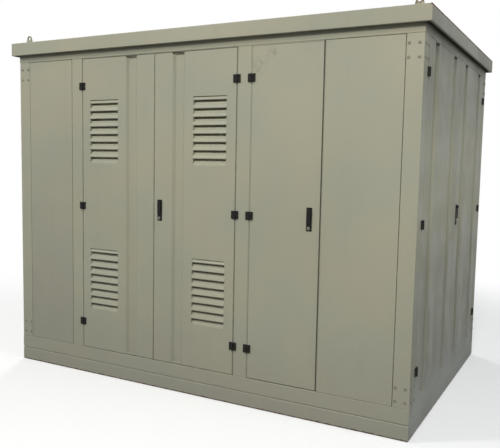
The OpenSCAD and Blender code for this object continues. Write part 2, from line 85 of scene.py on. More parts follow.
def xyz(tree, vector=None):
    """X, Y and Z of a vector, or else of the place on the surface."""
    split = place_on(tree) if vector is None else vector
    return put(tree, "ShaderNodeSeparateXYZ", {0: split}).outputs


def facing(tree):
    """X, Y and Z of the direction in which the surface faces, in the housing's own frame."""
    return xyz(tree, put(tree, "ShaderNodeTexCoord").outputs["Normal"])


def cloud(tree, scale, detail=3.0, rough=0.55, stretch=None):
    """Soft noise on the surface, drawn out along an axis where stretch says so."""
    where = place_on(tree)
    if stretch:
        drawn = {"Vector": where, "Scale": stretch}
        where = put(tree, "ShaderNodeMapping", drawn).outputs["Vector"]
    inputs = {"Vector": where, "Scale": scale, "Detail": detail, "Roughness": rough}
    return put(tree, "ShaderNodeTexNoise", inputs).outputs["Fac"]


def span(tree, value, low, high, start=0.0, end=1.0):
    """A value between two levels, eased and brought to another range."""
    inputs = {0: value, 1: low, 2: high, 3: start, 4: end}
    eased = put(tree, "ShaderNodeMapRange", inputs, interpolation_type="SMOOTHSTEP")
    return eased.outputs[0]


def sums(tree, operation, first, second):
    """Two values brought together by a math operation."""
    return put(tree, "ShaderNodeMath", {0: first, 1: second}, operation=operation).outputs[0]


def product(tree, first, *others):
    """Shares multiplied one after another."""
    whole = first
    for share in others:
        whole = sums(tree, "MULTIPLY", whole, share)
    return whole


def blend_tone(tree, share, under, over, mode="MIX"):
    """One colour over another, by its share."""
    inputs = {0: share, 6: under, 7: over}
    return put(tree, "ShaderNodeMix", inputs, data_type="RGBA", blend_type=mode).outputs[2]


def effect(name, inputs, outputs):
    """An empty node group with its named sockets, its inlet and its outlet."""
    group = bpy.data.node_groups.new(name, "ShaderNodeTree")
    for label, kind, value in inputs:
        socket = group.interface.new_socket(label, in_out="INPUT", socket_type=kind)
        socket.default_value = value
    for label, kind in outputs:
        group.interface.new_socket(label, in_out="OUTPUT", socket_type=kind)
    inlet = group.nodes.new("NodeGroupInput").outputs
    return group, inlet, group.nodes.new("NodeGroupOutput").inputs


# Spray coats differ a little from sheet to sheet, in lightness and between a warm and a cool grey
tone_drift, given, out = effect(
    "tone_drift",
    [("Colour", "NodeSocketColor", housing_paint), ("Share", "NodeSocketFloat", 0.05)],
    [("Colour", "NodeSocketColor")],
)
darker = sums(tone_drift, "SUBTRACT", 1.0, given["Share"])
lighter = sums(tone_drift, "ADD", 1.0, given["Share"])
lightness = span(tone_drift, cloud(tone_drift, 1.3), 0.3, 0.7, darker, lighter)
toned = blend_tone(tone_drift, 1.0, given["Colour"], lightness, "MULTIPLY")
hue = span(tone_drift, cloud(tone_drift, 2.6, detail=2.0), 0.35, 0.65)
hue = blend_tone(tone_drift, hue, cool_drift, warm_drift)
tone_drift.links.new(blend_tone(tone_drift, 1.0, toned, hue, "MULTIPLY"), out["Colour"])

# Rain runs down the sheets in broad and in fine streaks
rain_streaks, given, out = effect(
    "rain_streaks", [("Share", "NodeSocketFloat", 0.3)], [("Mask", "NodeSocketFloat")]
)
broad = cloud(rain_streaks, 1.0, detail=4.0, rough=0.6, stretch=(9.0, 9.0, 0.35))
broad = span(rain_streaks, broad, 0.50, 0.78)
fine = cloud(rain_streaks, 1.0, detail=3.0, rough=0.6, stretch=(55.0, 55.0, 0.8))
fine = span(rain_streaks, fine, 0.55, 0.80, 0.0, 0.6)
streak = product(rain_streaks, sums(rain_streaks, "MAXIMUM", broad, fine), given["Share"])
rain_streaks.links.new(streak, out["Mask"])

# Splash and dust climb from the ground, with a ragged edge
ground_dust, given, out = effect(
    "ground_dust",
    [("Reach", "NodeSocketFloat", 0.4), ("Share", "NodeSocketFloat", 0.5)],
    [("Mask", "NodeSocketFloat")],
)
edge = span(ground_dust, cloud(ground_dust, 7.0, detail=5.0), 0.2, 0.8, -0.12, 0.12)
ragged = sums(ground_dust, "ADD", xyz(ground_dust)["Z"], edge)
climbed = span(ground_dust, ragged, given["Reach"], -0.05)
ground_dust.links.new(product(ground_dust, climbed, given["Share"]), out["Mask"])

# Grime settles where surfaces meet: in joints, folds and behind louvre blades. It follows ambient
# occlusion, so it is painted shade as well as dirt
seam_grime_and_shade, given, out = effect(
    "seam_grime_and_shade",
    [("Reach", "NodeSocketFloat", 0.02), ("Share", "NodeSocketFloat", 0.5)],
    [("Mask", "NodeSocketFloat")],
)
reach = {"Distance": given["Reach"]}
closed = put(seam_grime_and_shade, "ShaderNodeAmbientOcclusion", reach, samples=6).outputs["AO"]
occluded = span(seam_grime_and_shade, closed, 0.85, 0.25)
broken = span(seam_grime_and_shade, cloud(seam_grime_and_shade, 22.0, detail=4.0), 0.25, 0.75, 0.45, 1.0)
seam_grime_and_shade.links.new(product(seam_grime_and_shade, occluded, broken, given["Share"]), out["Mask"])

# Sprayed sheet: fine orange peel, and the slow waves of thin sheet between its folds
sprayed_sheet, given, out = effect(
    "sprayed_sheet",
    [],
    [("Peel", "NodeSocketFloat"), ("Wave", "NodeSocketFloat"), ("Sheen", "NodeSocketFloat")],
)
sprayed_sheet.links.new(cloud(sprayed_sheet, 420.0, detail=2.0, rough=0.5), out["Peel"])
sprayed_sheet.links.new(cloud(sprayed_sheet, 1.9, detail=1.0, rough=0.4), out["Wave"])
sheen = span(sprayed_sheet, cloud(sprayed_sheet, 5.0, detail=4.0), 0.3, 0.7)
sprayed_sheet.links.new(sheen, out["Sheen"])

# Rust that breaks through where a mask lets it, in spots of two browns
rust_bloom, given, out = effect(
    "rust_bloom",
    [("Mask", "NodeSocketFloat", 0.0)],
    [("Cover", "NodeSocketFloat"), ("Colour", "NodeSocketColor")],
)
spots = cloud(rust_bloom, 34.0, detail=6.0, rough=0.7)
spots = sums(rust_bloom, "ADD", spots, given["Mask"])
rust_bloom.links.new(span(rust_bloom, spots, 1.02, 1.28), out["Cover"])
browns = span(rust_bloom, cloud(rust_bloom, 90.0), 0.35, 0.65)
rust_bloom.links.new(blend_tone(rust_bloom, browns, rust_dark, rust_tone), out["Colour"])


def effect_node(tree, group, **inputs):
    """An effect placed in a material with its own values."""
    return put(tree, "ShaderNodeGroup", inputs, node_tree=group).outputs


def new_finish(name):
    """A plain material to build on, with its node tree and its shader."""
    finish = bpy.data.materials.new(name)
    finish.use_nodes = True
    return finish, finish.node_tree, finish.node_tree.nodes["Principled BSDF"]


def painted(name, drift, rain, dust_reach, dust, grime_and_shade, wave, rust_mask=None, marks=()):
    """Spray paint on sheet steel, weathered by the shares given. A mark is a mask and its tone."""
    finish, tree, shader = new_finish(name)
    sheet = effect_node(tree, sprayed_sheet)
    colour = effect_node(tree, tone_drift, Colour=housing_paint, Share=drift)["Colour"]
    streaked = effect_node(tree, rain_streaks, Share=rain)["Mask"]
    colour = blend_tone(tree, streaked, colour, rain_tone)
    dusty = effect_node(tree, ground_dust, Reach=dust_reach, Share=dust)["Mask"]
    colour = blend_tone(tree, dusty, colour, dust_tone)
    for mask, tone in marks:
        colour = blend_tone(tree, mask(tree), colour, tone)
    # Grime and painted shade where surfaces meet, laid by ambient occlusion
    grime_and_shade_mask = effect_node(tree, seam_grime_and_shade, Share=grime_and_shade)["Mask"]
    colour = blend_tone(tree, grime_and_shade_mask, colour, grime_and_shade_tone)
    shader.inputs["Specular IOR Level"].default_value = 0.3
    rough = span(tree, sheet["Sheen"], 0.0, 1.0, 0.48, 0.60)
    rough = sums(tree, "ADD", rough, product(tree, dusty, 0.3))
    if rust_mask:
        rust = effect_node(tree, rust_bloom, Mask=rust_mask(tree))
        colour = blend_tone(tree, rust["Cover"], colour, rust["Colour"])
        rough = sums(tree, "ADD", rough, product(tree, rust["Cover"], 0.35))
    tree.links.new(colour, shader.inputs["Base Color"])
    tree.links.new(rough, shader.inputs["Roughness"])
    waves = {"Height": sheet["Wave"], "Strength": 1.0, "Distance": wave}
    wavy = put(tree, "ShaderNodeBump", waves).outputs["Normal"]
    peel = {"Height": sheet["Peel"], "Strength": 0.25, "Distance": 0.0004, "Normal": wavy}
    peeled = put(tree, "ShaderNodeBump", peel).outputs["Normal"]
    tree.links.new(peeled, shader.inputs["Normal"])
    return finish


def coat(finish, *names):
    """A finish in place of the plain one on the named pieces of the frame."""
    for name in names:
        for slot in nodes[name].material_slots:
            slot.material = finish


def foot_rust(tree):
    """Rust along the lowest few millimetres, where the paint meets the ground."""
    return span(tree, xyz(tree)["Z"], 0.022, 0.0, 0.25, 0.85)


def end_faces(tree):
    """The right end's outward faces alone."""
    outward = span(tree, facing(tree)["X"], 0.2, 0.6)
    return product(tree, outward, span(tree, xyz(tree)["X"], end_start, end_full))


def pale_splash(tree):
    """Pale grey splash dried on the foot of the right end."""
    edge = span(tree, cloud(tree, 9.0, detail=5.0), 0.3, 0.7, -0.06, 0.06)
    ragged = sums(tree, "ADD", xyz(tree)["Z"], edge)
    return product(tree, span(tree, ragged, 0.40, 0.16, 0.0, 0.42), end_faces(tree))


base_paint = painted(
    "base_paint", drift=0.03, rain=0.12, dust_reach=0.60, dust=0.55, grime_and_shade=0.40, wave=0.002,
    rust_mask=foot_rust, marks=((pale_splash, splash_tone),),
)
coat(base_paint, "base_side_channels", "base_end_channels", "base_bearers", "floor_plate")


# Wall frame: rails, corner posts and mullions folded from 3 mm sheet, welded up as one frame with
# rebates for the doors and panels. It is sprayed with the panels. Rain washes down it and dust
# lies at its foot. Painted shade darkens the right end, low down and under the eave, and the top
# rails under the fascia.

# Cool grey of the painted shade on the right end
end_shade_tone = (0.196, 0.198, 0.158, 1)


def end_shade(tree):
    """Cool grey painted shade on the right end, low down and again under the eave."""
    height = xyz(tree)["Z"]
    low = product(tree, span(tree, height, 1.40, 0.80), span(tree, height, 0.12, 0.26))
    high = span(tree, height, 1.55, 2.10)
    runs = cloud(tree, 1.0, detail=3.0, rough=0.55, stretch=(6.0, 6.0, 0.8))
    shade_share = span(tree, runs, 0.3, 0.7, 0.50, 0.70)
    return product(tree, sums(tree, "MAXIMUM", low, high), shade_share, end_faces(tree))


def eave_shade(tree):
    """Painted shade behind and under the roof's fascia: some towards the left, most on the right
    end.
    """
    fascia_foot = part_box("roof")[0].z
    where = xyz(tree)
    under_fascia = span(tree, where["Z"], fascia_foot - 0.012, fascia_foot + 0.012)
    sides = span(tree, where["X"], -1.2, 0.6, 0.30, 0.0)
    end = span(tree, where["X"], end_full, end_full + 0.025, 0.0, 0.8)
    return product(tree, under_fascia, sums(tree, "MAXIMUM", sides, end))


# The right end's painted shade and the pale splash dried on its foot
end_shade_and_splash = ((end_shade, end_shade_tone), (pale_splash, splash_tone))
frame_coat = {
    "drift": 0.025, "rain": 0.12, "dust_reach": 0.90, "dust": 0.40, "grime_and_shade": 0.35, "wave": 0.003,
}
frame_paint = painted("frame_paint", **frame_coat, marks=end_shade_and_splash)
# The top rails also carry painted shade just under the fascia
eave_paint = painted("eave_paint", **frame_coat, marks=(*end_shade_and_splash, (eave_shade, grime_and_shade_tone)))
coat(frame_paint, "bottom_side_rails", "bottom_end_rails", "corner_posts")
coat(frame_paint, "front_mullions", "back_mullions")
coat(eave_paint, "top_side_rails", "top_end_rails")


# Corner bolts: hexagon bolts on washers, four in a square at the top and foot of each post's two
# faces. They draw the post to gussets behind it. The thin heads are painted over with the post and
# have gone dull.

post_low, post_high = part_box("corner_posts")
bolt_columns = (0.028, 0.085)
bolt_levels = (0.224, 0.302, 2.121, 2.196)
washer_radius = 0.0085
washer_depth = 0.0010
head_across = 0.0132
head_depth = 0.0030

# The heads stopped at different turns: degrees for each bolt upwards, and for each metre along
turn_upwards = 23
turn_along = 400

# Each wall's frame: along it from its left corner as seen from outside, up, and outwards
walls = {}
for wall, corner, along, outward in (
    ("front", (post_low.x, post_low.y), (1, 0, 0), (0, -1, 0)),
    ("right", (post_high.x, post_low.y), (0, 1, 0), (1, 0, 0)),
    ("back", (post_high.x, post_high.y), (-1, 0, 0), (0, 1, 0)),
    ("left", (post_low.x, post_high.y), (0, -1, 0), (-1, 0, 0)),
):
    axes = Matrix((along, (0, 0, 1), outward)).transposed().to_4x4()
    walls[wall] = Matrix.Translation((*corner, 0)) @ axes
wall_lengths = {
    "front": post_high.x - post_low.x,
    "back": post_high.x - post_low.x,
    "right": post_high.y - post_low.y,
    "left": post_high.y - post_low.y,
}


def lone():
    """Nothing selected, so that the next operator acts on its own piece alone."""
    if bpy.context.object and bpy.context.object.mode != "OBJECT":
        bpy.ops.object.mode_set(mode="OBJECT")
    bpy.ops.object.select_all(action="DESELECT")


def pick(kind, test):
    """Only the faces, edges or vertices that pass the test stay selected in edit mode."""
    bpy.ops.mesh.select_mode(type=kind)
    bpy.ops.mesh.select_all(action="DESELECT")
    shape = bmesh.from_edit_mesh(bpy.context.edit_object.data)
    for item in {"FACE": shape.faces, "EDGE": shape.edges, "VERT": shape.verts}[kind]:
        if test(item):
            item.select_set(True)
    shape.select_flush_mode()
    bmesh.update_edit_mesh(bpy.context.edit_object.data)


def settle(name, finish, smooth=35):
    """Ends a piece's modelling: place and turn go into its mesh, and its finish on it."""
    piece = bpy.context.object
    if piece.mode != "OBJECT":
        bpy.ops.object.mode_set(mode="OBJECT")
    bpy.ops.object.transform_apply(location=True, rotation=True, scale=True)
    bpy.ops.object.shade_smooth_by_angle(angle=math.radians(smooth))
    piece.name = piece.data.name = name
    piece.data.materials.clear()
    piece.data.materials.append(finish)
    return piece


def as_one(pieces, name):
    """Several meshes joined as one piece."""
    lone()
    for piece in pieces:
        piece.select_set(True)
    bpy.context.view_layer.objects.active = pieces[0]
    if len(pieces) > 1:
        bpy.ops.object.join()
    joined = bpy.context.object
    joined.name = joined.data.name = name
    return joined


def set_out(pattern, places, name):
    """Copies of a pattern at their places, each with its own mesh, joined as one piece."""
    copies = []
    for place in places:
        copy = pattern.copy()
        copy.data = pattern.data.copy()
        copy.data.transform(place)
        bpy.context.scene.collection.objects.link(copy)
        copies.append(copy)
    return as_one(copies, name)


def grained(tree, shader, scale, detail, strength, depth):
    """Fine grain all over a surface."""
    grain = {"Height": cloud(tree, scale, detail), "Strength": strength, "Distance": depth}
    bumped = put(tree, "ShaderNodeBump", grain).outputs["Normal"]
    tree.links.new(bumped, shader.inputs["Normal"])


def aged_metal(name, tone, worn_tone, metal, rough_low, rough_high, scale):
    """Metal fittings: two tones in small patches, with roughness and pitting that follow them."""
    finish, tree, shader = new_finish(name)
    shader.inputs["Metallic"].default_value = metal
    patch = span(tree, cloud(tree, scale, detail=5.0, rough=0.65), 0.35, 0.65)
    colour = blend_tone(tree, patch, tone, worn_tone)
    # Grime and painted shade in the fittings' hollows, laid by ambient occlusion
    grime_and_shade_mask = effect_node(tree, seam_grime_and_shade, Reach=0.006, Share=0.7)["Mask"]
    tree.links.new(blend_tone(tree, grime_and_shade_mask, colour, grime_and_shade_tone), shader.inputs["Base Color"])
    rough = span(tree, patch, 0.0, 1.0, rough_low, rough_high)
    tree.links.new(rough, shader.inputs["Roughness"])
    grained(tree, shader, scale * 6, detail=3.0, strength=0.3, depth=0.0003)
    return finish


bolt_metal = aged_metal(
    "bolt_metal", tone=(0.270, 0.264, 0.198, 1), worn_tone=(0.170, 0.160, 0.122, 1),
    metal=0.1, rough_low=0.50, rough_high=0.68, scale=160.0,
)

lone()
bpy.ops.mesh.primitive_cylinder_add(
    vertices=24, radius=washer_radius, depth=washer_depth, location=(0, 0, washer_depth / 2)
)
bpy.ops.object.mode_set(mode="EDIT")
rim = washer_radius * 0.9
pick("EDGE", lambda e: all(v.co.z > 0 and v.co.xy.length > rim for v in e.verts))
bpy.ops.mesh.bevel(offset=washer_depth * 0.4, segments=2)
washer = settle("washer", bolt_metal)

lone()
bpy.ops.mesh.primitive_cylinder_add(
    vertices=6, radius=head_across / math.sqrt(3), depth=head_depth,
    location=(0, 0, washer_depth + head_depth / 2),
)
bpy.ops.object.mode_set(mode="EDIT")
pick("FACE", lambda f: f.normal.z > 0.9)
bpy.ops.mesh.inset(thickness=head_across * 0.08, depth=head_across * 0.05)
bpy.ops.mesh.inset(thickness=head_across * 0.10, depth=-head_across * 0.02)
head = settle("head", bolt_metal, 25)
bolt = as_one([washer, head], "bolt")

# A post's faces are the left end of one wall and the right end of another
posts = {
    "front_left": (("front", False), ("left", True)),
    "front_right": (("right", False), ("front", True)),
    "back_right": (("back", False), ("right", True)),
    "back_left": (("left", False), ("back", True)),
}
for post, faces in posts.items():
    places = []
    for wall, far in faces:
        for column in bolt_columns:
            along = wall_lengths[wall] - column if far else column
            for i, level in enumerate(bolt_levels):
                angle = math.radians(turn_upwards * i + turn_along * column)
                seat = Matrix.Translation((along, level, 0))
                places.append(walls[wall] @ seat @ Matrix.Rotation(angle, 4, "Z"))
    bolts = set_out(bolt, places, "post_bolts_" + post)
    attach(bolts, "housing")


# Door seals: soft black rubber strip with a rounded face, glued round the stop flanges of each
# doorway. The closed door's back lies a millimetre off it, and it stays on the frame when the door
# swings.

seal_width = 0.011
seal_depth = 0.005
seal_edge = 0.0045
stop_depth = 0.030
door_gap = 0.006
sill, head_level = post_low.z, post_high.z
rubber_black = (0.010, 0.010, 0.010, 1)
rubber_bloom = (0.030, 0.029, 0.027, 1)

seal_rubber, tree, shader = new_finish("seal_rubber")
bloomed = span(tree, cloud(tree, 30.0, detail=5.0), 0.35, 0.7)
bloom = blend_tone(tree, bloomed, rubber_black, rubber_bloom)
tree.links.new(bloom, shader.inputs["Base Color"])
tree.links.new(span(tree, bloomed, 0.0, 1.0, 0.55, 0.8), shader.inputs["Roughness"])
grained(tree, shader, 900.0, detail=2.0, strength=0.3, depth=0.0003)


def strip_ring(name, wall, opening, edge, width, back, depth, finish, half=False):
    """A strip with a rounded face round a doorway, or on its left jamb and head alone."""
    start, end = opening
    middle = ((start + end) / 2, (sill + head_level) / 2, back)
    lone()
    bpy.ops.mesh.primitive_plane_add(size=1, location=middle)
    bpy.context.object.scale = (end - start - 2 * edge, head_level - sill - 2 * edge, 1)
    bpy.ops.object.transform_apply(location=True, rotation=True, scale=True)
    bpy.ops.object.mode_set(mode="EDIT")
    pick("FACE", lambda f: True)
    bpy.ops.mesh.inset(thickness=width, depth=0)
    bpy.ops.mesh.delete(type="FACE")
    if half:
        pick("FACE", lambda f: f.calc_center_median().x > end - edge - width
             or f.calc_center_median().y < sill + edge + width)
        bpy.ops.mesh.delete(type="FACE")
    bpy.ops.object.mode_set(mode="OBJECT")
    bpy.context.object.modifiers.new("strip", "SOLIDIFY").thickness = depth
    bpy.context.object.modifiers["strip"].offset = 1
    bpy.ops.object.modifier_apply(modifier="strip")
    bpy.ops.object.mode_set(mode="EDIT")
    pick("EDGE", lambda e: all(v.co.z > back + depth / 2 for v in e.verts)
         and len(e.link_faces) == 2
         and abs(e.link_faces[0].normal.z - e.link_faces[1].normal.z) > 0.5)
    bpy.ops.mesh.bevel(offset=min(depth * 0.7, width * 0.35), segments=3)
    ring = settle(name, finish, 50)
    ring.data.transform(walls[wall])
    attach(ring, "housing")


def on_wall(name, wall):
    """The low and the high corner of a piece's box, in its wall's frame."""
    corners = [walls[wall].inverted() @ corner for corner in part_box(name)]
    low = Vector([min(axis) for axis in zip(*corners)])
    return low, Vector([max(axis) for axis in zip(*corners)])


def jambs(first_leaf, last_leaf, wall):
    """The doorway's jambs along its wall: the outer edges of its leaves and the gap round them."""
    return on_wall(first_leaf, wall)[0].x - door_gap, on_wall(last_leaf, wall)[1].x + door_gap


louvred_doorway = jambs("louvred_door_left", "louvred_door_right", "front")
plain_doorway = jambs("plain_door", "plain_door", "front")
end_doorway = jambs("end_door_front", "end_door_rear", "right")
for doorway, wall, opening in (
    ("louvred", "front", louvred_doorway),
    ("plain", "front", plain_doorway),
    ("end", "right", end_doorway),
):
    strip_ring(
        doorway + "_door_seal", wall, opening, seal_edge, seal_width, -stop_depth, seal_depth,
        seal_rubber,
    )


# Gap strips: soft cellular strip pressed into the gaps round the closed leaves, a little below
# their faces. Dust has turned it olive; round the plain and the end doors it is painted over, and
# below and beside the plain door it has come off. Between two leaves it rides on the first one.

strip_width = 0.0051
strip_depth = 0.008
foam_sunk = 0.0016
painted_sunk = 0.0008
foam_olive = (0.150, 0.145, 0.108, 1)
foam_dusty = (0.240, 0.235, 0.178, 1)

strip_foam, tree, shader = new_finish("strip_foam")
shader.inputs["Specular IOR Level"].default_value = 0.2
shader.inputs["Roughness"].default_value = 0.85
dusted = span(tree, cloud(tree, 14.0, detail=5.0), 0.3, 0.7)
tree.links.new(blend_tone(tree, dusted, foam_olive, foam_dusty), shader.inputs["Base Color"])
grained(tree, shader, 1100.0, detail=2.0, strength=0.5, depth=0.0004)

for doorway, wall, opening, sunk, finish in (
    ("louvred", "front", louvred_doorway, foam_sunk, strip_foam),
    ("plain", "front", plain_doorway, painted_sunk, frame_paint),
    ("end", "right", end_doorway, painted_sunk, frame_paint),
):
    strip_ring(
        doorway + "_gap_strip", wall, opening, 0, strip_width, -sunk - strip_depth, strip_depth,
        finish, half=doorway == "plain",
    )

for doorway, wall, leaf, body, sunk, finish in (
    ("louvred", "front", "louvred_door_left", "louvred_left_leaf", foam_sunk, strip_foam),
    ("end", "right", "end_door_front", "end_front_leaf", painted_sunk, frame_paint),
):
    low, high = on_wall(leaf, wall)
    middle = -sunk - strip_depth / 2
    lone()
    bpy.ops.mesh.primitive_cube_add(
        size=1, location=(high.x + strip_width / 2, (low.y + high.y) / 2, middle)
    )
    bpy.context.object.scale = (strip_width, high.y - low.y, strip_depth)
    bpy.ops.object.transform_apply(location=True, rotation=True, scale=True)
    bpy.ops.object.mode_set(mode="EDIT")
    pick("EDGE", lambda e: all(v.co.z > middle for v in e.verts))
    bpy.ops.mesh.bevel(offset=strip_width * 0.35, segments=3)
    strip = settle(doorway + "_meeting_strip", finish, 50)
    strip.data.transform(walls[wall])
    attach(strip, body)


# Channel plugs: blocks of the same cellular strip, cut to close the notch at the top of each
# pressed channel and pushed in half way to the channel's floor. Those at the channel's foot are
# set further out and painted over. Each rides with its leaf.

channel_middle = 0.188
plug_width = 0.090
plug_height = 0.0095
plug_back = 0.0215
top_sunk = 0.009
foot_sunk = 0.003


def plug(name, sunk, finish):
    """A plug below the origin, with its rounded face sunk under the leaf's."""
    middle = -(sunk + plug_back) / 2
    lone()
    bpy.ops.mesh.primitive_cube_add(size=1, location=(0, -plug_height / 2, middle))
    bpy.context.object.scale = (plug_width, plug_height, plug_back - sunk)
    bpy.ops.object.transform_apply(location=True, rotation=True, scale=True)
    bpy.ops.object.mode_set(mode="EDIT")
    pick("EDGE", lambda e: all(v.co.z > middle for v in e.verts))
    bpy.ops.mesh.bevel(offset=plug_height * 0.15, segments=3)
    return settle(name, finish, 50)


top_plug = plug("top_plug", top_sunk, strip_foam)
foot_plug = plug("foot_plug", foot_sunk, frame_paint)

for leaf, wall, body, sides in (
    ("louvred_door_left", "front", "louvred_left_leaf", (1,)),
    ("louvred_door_right", "front", "louvred_right_leaf", (0,)),
    ("end_door_front", "right", "end_front_leaf", (0, 1)),
    ("end_door_rear", "right", "end_rear_leaf", (0, 1)),
):
    low, high = on_wall(leaf, wall)
    channels = low.x + channel_middle, high.x - channel_middle
    for pattern, level, name, slot in (
        (top_plug, high.y, "_plugs", "handle_black"),
        (foot_plug, low.y + plug_height, "_foot_plugs", "paint"),
    ):
        seats = [Matrix.Translation((channels[side], level, 0)) for side in sides]
        plugs = set_out(pattern, [walls[wall] @ seat for seat in seats], leaf + name)
        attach(plugs, body)


# Fixed panels: pans of 2 mm sheet with folded edges, fastened from inside against the stops. The
# back and the left end repeat the front's and the right end's sheets. Same paint, a little wavier
# than the frame; the front's left panel grows darker towards the bottom over nearly its whole
# height, and its right one carries a painted shadow beside the door.


def gap_shadow_edge(tree):
    """Painted shadow along the front right panel's edge beside the plain door, deepening the gap.
    """
    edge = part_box("plain_door")[1].x + door_gap
    return span(tree, xyz(tree)["X"], edge + 0.009, edge + 0.003, 0.0, 0.45)


panel_coat = {
    "drift": 0.03, "rain": 0.14, "dust_reach": 0.90, "dust": 0.40, "grime_and_shade": 0.35, "wave": 0.006,
}
# The front's left panel grows darker towards the bottom, up to 2.2 m
left_panel_coat = panel_coat | {"dust_reach": 2.20, "dust": 0.60}
panel_paint = painted("panel_paint", **panel_coat)
# The front right panel carries a painted shadow along its edge beside the plain door
gap_shadow_paint = painted("gap_shadow_paint", **panel_coat, marks=((gap_shadow_edge, grime_and_shade_tone),))
left_panel_paint = painted("left_panel_paint", **left_panel_coat)
coat(gap_shadow_paint, "front_right_panel")
coat(panel_paint, "left_end_panels", "back_plain_panels", "back_louvred_panels")
coat(left_panel_paint, "front_left_panel")


# Door leaves: pans of 2 mm sheet, the front pair with pressed louvres, and stiffening channels
# pressed into the wide leaves. Hands have smeared the plain door's upper corner, and splashes
# dried pale on the end's foot, with pale runs above them. The end doors carry the end's painted
# shade, and pale painted light lies deep on the louvre blades.

smear_tone = (0.230, 0.222, 0.165, 1)
pale_run_tone = (0.500, 0.500, 0.450, 1)
# Pale tone of the painted light deep on the upper louvre blades
blade_light_tone = (0.620, 0.605, 0.450, 1)


def smear(tree):
    """Two rubbed, greasy smears at the upper hinge corner of the plain door."""
    low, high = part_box("plain_door")
    rubbed = None
    for along, drop, reach in ((0.045, 0.115, 0.075), (0.130, 0.045, 0.050)):
        offset = {0: place_on(tree), 1: (low.x + along, low.y, high.z - drop)}
        away = put(tree, "ShaderNodeVectorMath", offset, operation="DISTANCE").outputs["Value"]
        patch = span(tree, away, reach, reach * 0.2)
        rubbed = sums(tree, "MAXIMUM", rubbed, patch) if rubbed else patch
    wiped = span(tree, cloud(tree, 38.0, detail=5.0, rough=0.6), 0.42, 0.62, 0.0, 0.55)
    return product(tree, rubbed, wiped)


def pale_runs(tree):
    """Pale vertical runs between knee and foot height, on the right end alone."""
    height = xyz(tree)["Z"]
    low = product(tree, span(tree, height, 1.0, 0.45), span(tree, height, 0.20, 0.35))
    runs = cloud(tree, 1.0, detail=4.0, rough=0.6, stretch=(8.0, 8.0, 1.2))
    return product(tree, low, end_faces(tree), span(tree, runs, 0.46, 0.68, 0.0, 0.40))


def blade_light(tree):
    """Pale painted light deep on the outer faces of the upper louvre blades, where they lie in
    shade.
    """
    middle = (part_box("louvred_door_left")[0].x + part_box("louvred_door_right")[1].x) / 2
    face = post_low.y
    where = xyz(tree)
    aside = sums(tree, "ABSOLUTE", sums(tree, "SUBTRACT", where["X"], middle), 0.0)
    banks = product(tree, span(tree, aside, 0.27, 0.29), span(tree, where["Z"], 1.1, 1.2))
    deep = span(tree, where["Y"], face + 0.010, face + 0.017, 0.0, 0.9)
    outer = product(tree, deep, span(tree, facing(tree)["Y"], -0.2, -0.4))
    return product(tree, banks, outer)


door_coat = {
    "drift": 0.03, "rain": 0.14, "dust_reach": 0.90, "dust": 0.35, "grime_and_shade": 0.27, "wave": 0.006,
}
door_marks = ((smear, smear_tone), *end_shade_and_splash, (pale_runs, pale_run_tone))
door_paint = painted("door_paint", **door_coat, marks=door_marks)
louvred_paint = painted("louvred_paint", **door_coat, marks=((blade_light, blade_light_tone),))
coat(louvred_paint, "louvred_door_left", "louvred_door_right")
coat(door_paint, "plain_door", "end_door_front", "end_door_rear")


# Hinges: square black butt hinges of coated die casting, three to a leaf, with a steel pin. Each
# half is held by two black socket screws, in the upright on one side and in the leaf on the other.

hinge_coat = aged_metal(
    "hinge_coat", tone=(0.006, 0.006, 0.006, 1), worn_tone=(0.016, 0.015, 0.014, 1),
    metal=0.0, rough_low=0.55, rough_high=0.75, scale=120.0,
)
hinge_shader = hinge_coat.node_tree.nodes["Principled BSDF"]
hinge_shader.inputs["Specular IOR Level"].default_value = 0.2
coat(hinge_coat, "front_hinge_frames", "end_hinge_frames", "louvred_left_hinges")
coat(hinge_coat, "louvred_right_hinges", "plain_door_hinges", "end_front_hinges")
coat(hinge_coat, "end_rear_hinges")

hinge_size = 0.050
hinge_leaf = 0.005
screw_radius = 0.0042
screw_rise = 0.0014
screw_column = 0.0163
screw_spread = 0.0145

lone()
bpy.ops.mesh.primitive_cylinder_add(
    vertices=18, radius=screw_radius, depth=screw_rise, location=(0, 0, screw_rise / 2)
)
bpy.ops.object.mode_set(mode="EDIT")
pick("FACE", lambda f: f.normal.z > 0.9)
bpy.ops.mesh.inset(thickness=screw_radius * 0.2, depth=screw_rise * 0.4)
bpy.ops.mesh.inset(thickness=screw_radius * 0.3, depth=0)
bpy.ops.mesh.inset(thickness=screw_radius * 0.02, depth=-screw_rise * 0.8)
screw = settle("screw", hinge_coat)

joints = {joint["name"]: joint for joint in frame["joints"]}
lowest, highest = (corner.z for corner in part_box("louvred_left_hinges"))
hinge_levels = (lowest + hinge_size / 2, (lowest + highest) / 2, highest - hinge_size / 2)
frame_screws = {"front": [], "right": []}
for leaf, joint, wall, side in (
    ("louvred_left", "louvred_left_swing", "front", 1),
    ("louvred_right", "louvred_right_swing", "front", -1),
    ("plain_door", "plain_swing", "front", 1),
    ("end_front", "end_front_swing", "right", 1),
    ("end_rear", "end_rear_swing", "right", -1),
):
    axis = (walls[wall].inverted() @ Vector(joints[joint]["pos_m"])).x
    leaf_places = []
    for level in hinge_levels:
        for rise in (-screw_spread, screw_spread):
            for half, places in ((side, leaf_places), (-side, frame_screws[wall])):
                seat = (axis + half * screw_column, level + rise, hinge_leaf)
                places.append(walls[wall] @ Matrix.Translation(seat))
    screws = set_out(screw, leaf_places, leaf + "_hinge_screws")
    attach(screws, joints[joint]["child"])
for wall, places in frame_screws.items():
    screws = set_out(screw, places, wall + "_frame_hinge_screws")
    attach(screws, "housing")


# Lock handles: a black base plate screwed on the leaf, a lever that hangs from its spindle and
# turns a quarter, and a plated key cylinder below. Glass-filled plastic with a fine moulded grain,
# worn at the grip.

